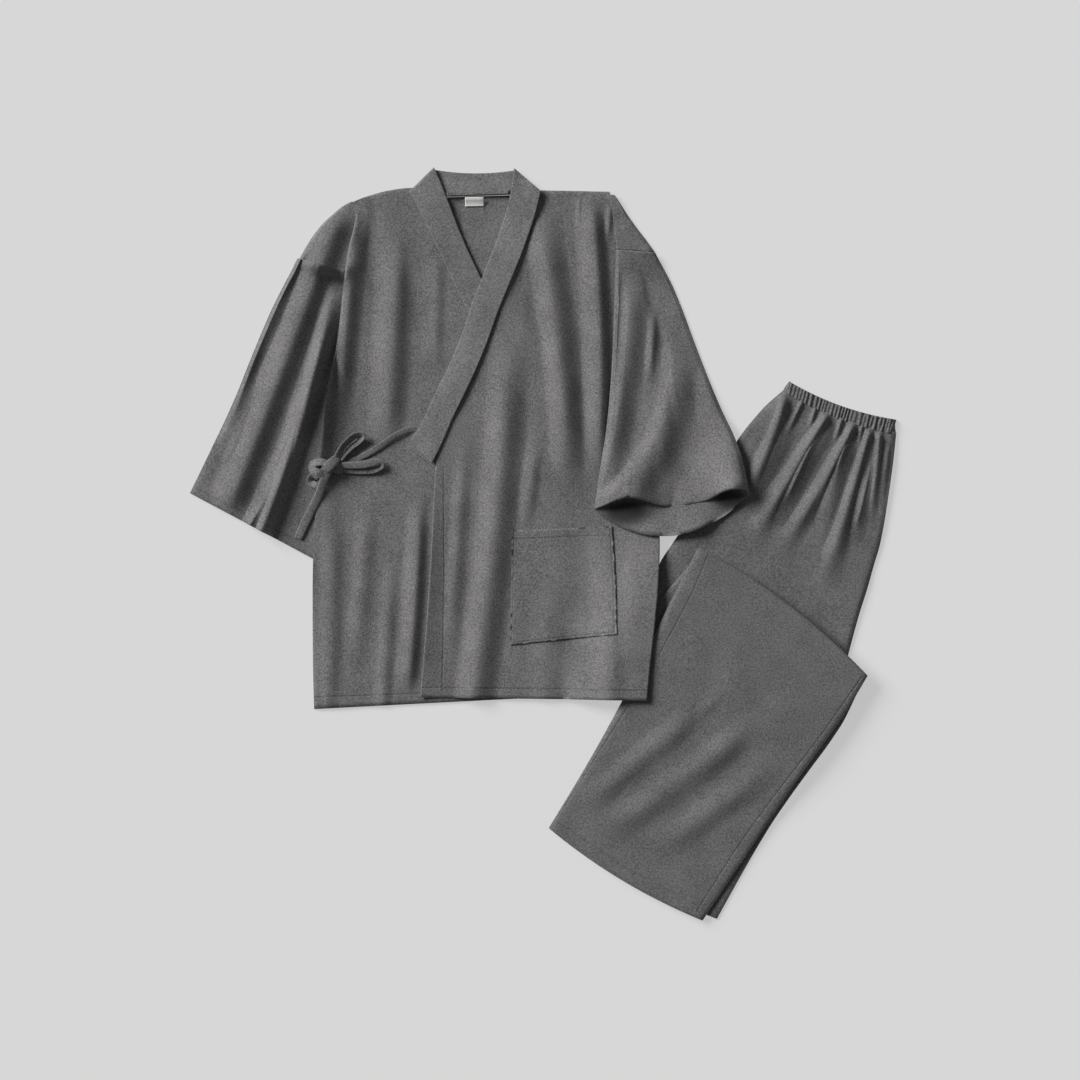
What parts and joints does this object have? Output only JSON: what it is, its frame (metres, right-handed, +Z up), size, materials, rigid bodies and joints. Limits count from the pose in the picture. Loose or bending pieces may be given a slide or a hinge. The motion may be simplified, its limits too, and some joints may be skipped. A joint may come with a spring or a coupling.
{
  "type": "jinbei set",
  "caption": "Wrap-over jacket with a tied side bow, and long trousers folded lengthwise and across, laid flat as a set.",
  "frame": {"origin": "centre of the set's outline on the surface it lies on", "axes": "+Z up from the surface; +Y from the trouser hems' side towards the jacket's collar; +X from the jacket towards the trousers"},
  "size_m": [1.026, 1.091, 0.0313],
  "materials": {
    "jacket_knit": "brushed heather knit, matt",
    "collar_knit": "brushed heather knit sewn double, matt",
    "trouser_knit": "brushed heather knit, matt",
    "white_tape": "smooth woven tape, matt"
  },
  "bodies": {
    "root": {"label": "white_tape", "collar_back": "collar_knit", "collar_under": "collar_knit", "collar_over": "collar_knit", "neck_tape": "collar_knit", "trousers_hip": "trouser_knit", "trousers_casing": "trouser_knit", "trousers_middle": "trouser_knit", "leg_far": "trouser_knit", "leg_near": "trouser_knit", "jacket_back": "jacket_knit", "shoulder_left": "jacket_knit", "sleeve_left": "jacket_knit", "front_under": "jacket_knit", "front_over": "jacket_knit", "pocket": "jacket_knit", "shoulder_right": "jacket_knit", "sleeve_right": "jacket_knit", "tie_strap": "jacket_knit", "tie_tail": "jacket_knit", "loop_up": "jacket_knit", "loop_right": "jacket_knit", "side_tie": "jacket_knit", "knot": "jacket_knit"}
  },
  "joints": []
}
